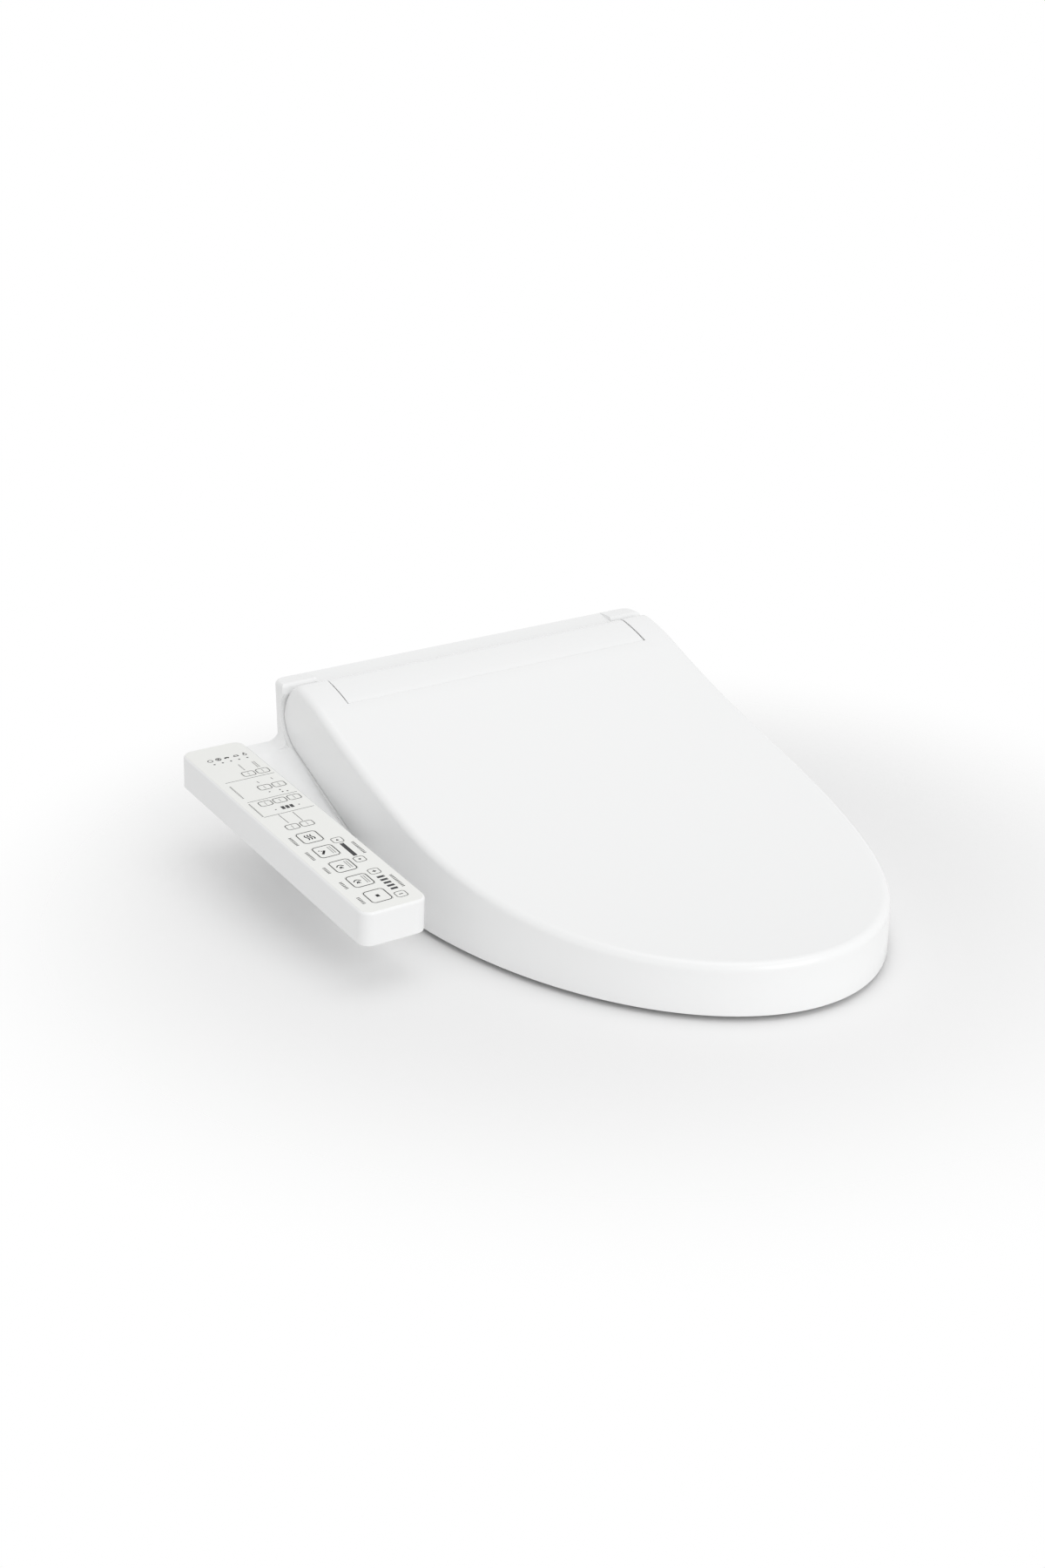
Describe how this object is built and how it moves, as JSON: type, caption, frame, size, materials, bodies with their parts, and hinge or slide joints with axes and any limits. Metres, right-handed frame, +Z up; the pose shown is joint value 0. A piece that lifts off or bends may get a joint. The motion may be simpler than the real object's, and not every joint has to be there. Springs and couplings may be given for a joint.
{
  "type": "electric bidet seat",
  "caption": "White washing toilet seat with a swept lid, heated seat ring, rack-driven spray wand, warm-air dryer and a tilted side control panel; slides on a bolted base plate.",
  "frame": {"origin": "midway between the two mounting bolts, on the plane of the pan's rim", "axes": "+Z up, -Y to the front of the seat, +X to the right seen from the front; the control panel is on the -X side"},
  "size_m": [0.479, 0.534, 0.1507],
  "materials": {
    "case_white": "smooth semi-gloss white",
    "seat_white": "smooth gloss white",
    "pad_rubber": "soft matt grey",
    "steel": "turned",
    "inner_plastic": "moulded matt",
    "wand_white": "smooth",
    "inlet_metal": "nickelled",
    "foil": "foil",
    "heater_ceramic": "fired",
    "board_green": "coated board",
    "panel_film": "ivory printed film",
    "lens_dark": "dark window",
    "key_film": "ivory printed film"
  },
  "bodies": {
    "base": {"base_plate": "inner_plastic", "bolt_inserts": "inner_plastic"},
    "main_unit": {"lower_case": "case_white", "upper_case": "case_white", "case_screws": "steel", "hinge_cover": "case_white", "hinge_shafts": "steel", "seat_damper": "inner_plastic", "lid_damper": "inner_plastic", "water_inlet": "inlet_metal", "filter_plug": "case_white", "solenoid_valve": "inner_plastic", "flow_pump": "inner_plastic", "heat_exchanger": "heater_ceramic", "water_hoses": "inner_plastic", "nozzle_cradle": "inner_plastic", "nozzle_motor": "steel", "fan_housing": "inner_plastic", "fan_motor": "steel", "air_duct": "inner_plastic", "air_heater": "foil", "main_board": "board_green", "deodoriser_cartridge": "inner_plastic", "cord_gland": "pad_rubber", "panel_case": "case_white", "panel_sheet": "panel_film", "indicator_lenses": "lens_dark", "panel_bottom": "case_white", "panel_board": "board_green"},
    "seat": {"seat_top": "seat_white", "seat_base": "seat_white", "seat_heater": "foil", "seat_bumpers": "pad_rubber"},
    "lid": {"lid_shell": "case_white", "lid_bumpers": "pad_rubber"},
    "release": {"release_button": "case_white"},
    "nozzle": {"nozzle_wand": "wand_white", "nozzle_tip": "wand_white"},
    "pinion": {"drive_pinion": "inner_plastic"},
    "flap": {"dryer_flap": "inner_plastic"},
    "fan": {"fan_wheel": "inner_plastic"},
    "key_dryer_body": {"key_dryer": "key_film"},
    "key_front_wash_body": {"key_front_wash": "key_film"},
    "key_soft_wash_body": {"key_soft_wash": "key_film"},
    "key_rear_wash_body": {"key_rear_wash": "key_film"},
    "key_stop_body": {"key_stop": "key_film"},
    "key_deodoriser_body": {"key_deodoriser": "key_film"},
    "key_energy_saver_body": {"key_energy_saver": "key_film"},
    "key_memory_one_body": {"key_memory_one": "key_film"},
    "key_memory_two_body": {"key_memory_two": "key_film"},
    "key_water_heat_body": {"key_water_heat": "key_film"},
    "key_seat_heat_body": {"key_seat_heat": "key_film"},
    "key_air_heat_body": {"key_air_heat": "key_film"},
    "key_oscillate_body": {"key_oscillate": "key_film"},
    "key_pulse_body": {"key_pulse": "key_film"},
    "key_position_back_body": {"key_position_back": "key_film"},
    "key_position_forward_body": {"key_position_forward": "key_film"},
    "key_pressure_up_body": {"key_pressure_up": "key_film"},
    "key_pressure_down_body": {"key_pressure_down": "key_film"}
  },
  "joints": [
    {"name": "unit_slide", "type": "slide", "parent": "base", "child": "main_unit", "axis": [0, -1, 0], "range_m": [0, 0.05]},
    {"name": "seat_hinge", "type": "hinge", "parent": "main_unit", "child": "seat", "pos_m": [0, 0.011, 0.1195], "axis": [1, 0, 0], "range_deg": [-95, 0]},
    {"name": "lid_hinge", "type": "hinge", "parent": "seat", "child": "lid", "pos_m": [0, 0.011, 0.1195], "axis": [-1, 0, 0], "range_deg": [0, 104]},
    {"name": "release_press", "type": "slide", "parent": "main_unit", "child": "release", "axis": [-1, 0, 0], "range_m": [0, 0.004], "stiffness_N_per_m": 800, "springref_m": -0.001},
    {"name": "nozzle_slide", "type": "slide", "parent": "main_unit", "child": "nozzle", "axis": [0, -0.9397, -0.342], "range_m": [0, 0.1]},
    {"name": "pinion_spin", "type": "hinge", "parent": "main_unit", "child": "pinion", "pos_m": [0, -0.06316, 0.05232], "axis": [-1, 0, 0], "range_deg": [0, 955]},
    {"name": "flap_hinge", "type": "hinge", "parent": "main_unit", "child": "flap", "pos_m": [0.07, -0.0894, 0.0326], "axis": [-1, 0, 0], "range_deg": [0, 40]},
    {"name": "fan_spin", "type": "hinge", "parent": "main_unit", "child": "fan", "pos_m": [0.088, 0.012, 0.027], "axis": [0, 0, 1], "continuous": true},
    {"name": "key_dryer_press", "type": "slide", "parent": "main_unit", "child": "key_dryer_body", "axis": [0, 0.0872, -0.9962], "range_m": [0, 0.0006], "stiffness_N_per_m": 1200, "springref_m": -0.0003},
    {"name": "key_front_wash_press", "type": "slide", "parent": "main_unit", "child": "key_front_wash_body", "axis": [0, 0.0872, -0.9962], "range_m": [0, 0.0006], "stiffness_N_per_m": 1200, "springref_m": -0.0003},
    {"name": "key_soft_wash_press", "type": "slide", "parent": "main_unit", "child": "key_soft_wash_body", "axis": [0, 0.0872, -0.9962], "range_m": [0, 0.0006], "stiffness_N_per_m": 1200, "springref_m": -0.0003},
    {"name": "key_rear_wash_press", "type": "slide", "parent": "main_unit", "child": "key_rear_wash_body", "axis": [0, 0.0872, -0.9962], "range_m": [0, 0.0006], "stiffness_N_per_m": 1200, "springref_m": -0.0003},
    {"name": "key_stop_press", "type": "slide", "parent": "main_unit", "child": "key_stop_body", "axis": [0, 0.0872, -0.9962], "range_m": [0, 0.0006], "stiffness_N_per_m": 1200, "springref_m": -0.0003},
    {"name": "key_deodoriser_press", "type": "slide", "parent": "main_unit", "child": "key_deodoriser_body", "axis": [0, 0.0872, -0.9962], "range_m": [0, 0.0006], "stiffness_N_per_m": 1200, "springref_m": -0.0003},
    {"name": "key_energy_saver_press", "type": "slide", "parent": "main_unit", "child": "key_energy_saver_body", "axis": [0, 0.0872, -0.9962], "range_m": [0, 0.0006], "stiffness_N_per_m": 1200, "springref_m": -0.0003},
    {"name": "key_memory_one_press", "type": "slide", "parent": "main_unit", "child": "key_memory_one_body", "axis": [0, 0.0872, -0.9962], "range_m": [0, 0.0006], "stiffness_N_per_m": 1200, "springref_m": -0.0003},
    {"name": "key_memory_two_press", "type": "slide", "parent": "main_unit", "child": "key_memory_two_body", "axis": [0, 0.0872, -0.9962], "range_m": [0, 0.0006], "stiffness_N_per_m": 1200, "springref_m": -0.0003},
    {"name": "key_water_heat_press", "type": "slide", "parent": "main_unit", "child": "key_water_heat_body", "axis": [0, 0.0872, -0.9962], "range_m": [0, 0.0006], "stiffness_N_per_m": 1200, "springref_m": -0.0003},
    {"name": "key_seat_heat_press", "type": "slide", "parent": "main_unit", "child": "key_seat_heat_body", "axis": [0, 0.0872, -0.9962], "range_m": [0, 0.0006], "stiffness_N_per_m": 1200, "springref_m": -0.0003},
    {"name": "key_air_heat_press", "type": "slide", "parent": "main_unit", "child": "key_air_heat_body", "axis": [0, 0.0872, -0.9962], "range_m": [0, 0.0006], "stiffness_N_per_m": 1200, "springref_m": -0.0003},
    {"name": "key_oscillate_press", "type": "slide", "parent": "main_unit", "child": "key_oscillate_body", "axis": [0, 0.0872, -0.9962], "range_m": [0, 0.0006], "stiffness_N_per_m": 1200, "springref_m": -0.0003},
    {"name": "key_pulse_press", "type": "slide", "parent": "main_unit", "child": "key_pulse_body", "axis": [0, 0.0872, -0.9962], "range_m": [0, 0.0006], "stiffness_N_per_m": 1200, "springref_m": -0.0003},
    {"name": "key_position_back_press", "type": "slide", "parent": "main_unit", "child": "key_position_back_body", "axis": [0, 0.0872, -0.9962], "range_m": [0, 0.0006], "stiffness_N_per_m": 1200, "springref_m": -0.0003},
    {"name": "key_position_forward_press", "type": "slide", "parent": "main_unit", "child": "key_position_forward_body", "axis": [0, 0.0872, -0.9962], "range_m": [0, 0.0006], "stiffness_N_per_m": 1200, "springref_m": -0.0003},
    {"name": "key_pressure_up_press", "type": "slide", "parent": "main_unit", "child": "key_pressure_up_body", "axis": [0, 0.0872, -0.9962], "range_m": [0, 0.0006], "stiffness_N_per_m": 1200, "springref_m": -0.0003},
    {"name": "key_pressure_down_press", "type": "slide", "parent": "main_unit", "child": "key_pressure_down_body", "axis": [0, 0.0872, -0.9962], "range_m": [0, 0.0006], "stiffness_N_per_m": 1200, "springref_m": -0.0003}
  ],
  "couplings": [
    {"joint": "pinion_spin", "follows": "nozzle_slide", "rad_per_m": 166.67}
  ]
}
